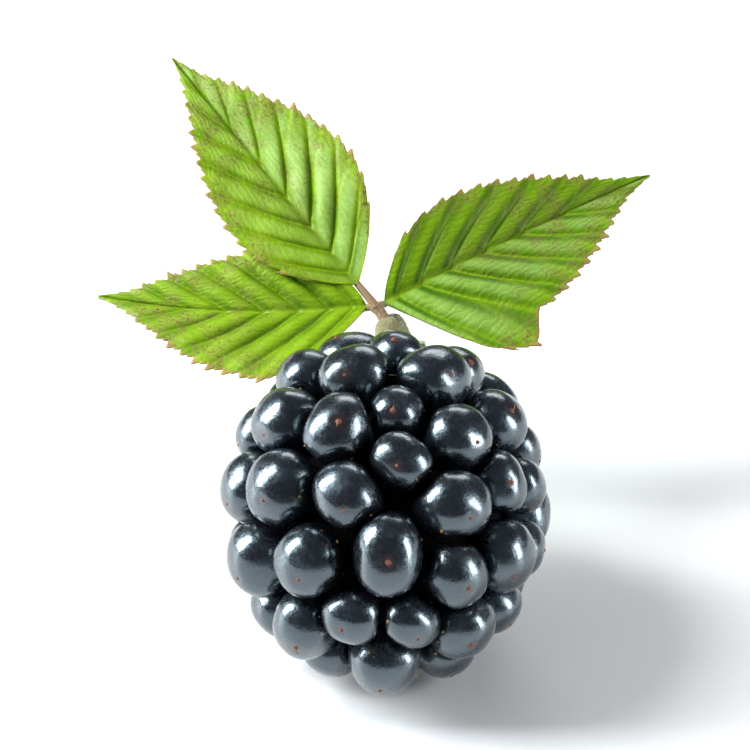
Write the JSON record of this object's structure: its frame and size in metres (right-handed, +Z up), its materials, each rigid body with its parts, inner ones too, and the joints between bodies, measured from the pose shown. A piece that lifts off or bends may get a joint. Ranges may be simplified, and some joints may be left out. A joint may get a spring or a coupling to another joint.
{
  "type": "bramble berry",
  "caption": "Ripe black bramble berry as picked, lying on its side, with calyx, short cut stalk and a leaf of three toothed leaflets.",
  "frame": {"origin": "the flat spot on the surface where the resting drupelet nearest below the fruit's middle is pressed", "axes": "+Z up, +Y horizontal towards the fruit's stalk end, +X to the right seen from the fruit's tip"},
  "size_m": [0.0416, 0.0479, 0.0293],
  "materials": {
    "berry_skin": "glossy black fruit skin with a faint blue bloom",
    "calyx_green": "downy grey-green sepals",
    "stalk_green": "matte green stalk, slightly hairy",
    "leaf_green": "satin yellow-green leaf with brown specks"
  },
  "bodies": {
    "root": {"berry": "berry_skin", "calyx": "calyx_green", "stalk": "stalk_green", "leaf": "leaf_green"}
  },
  "joints": []
}
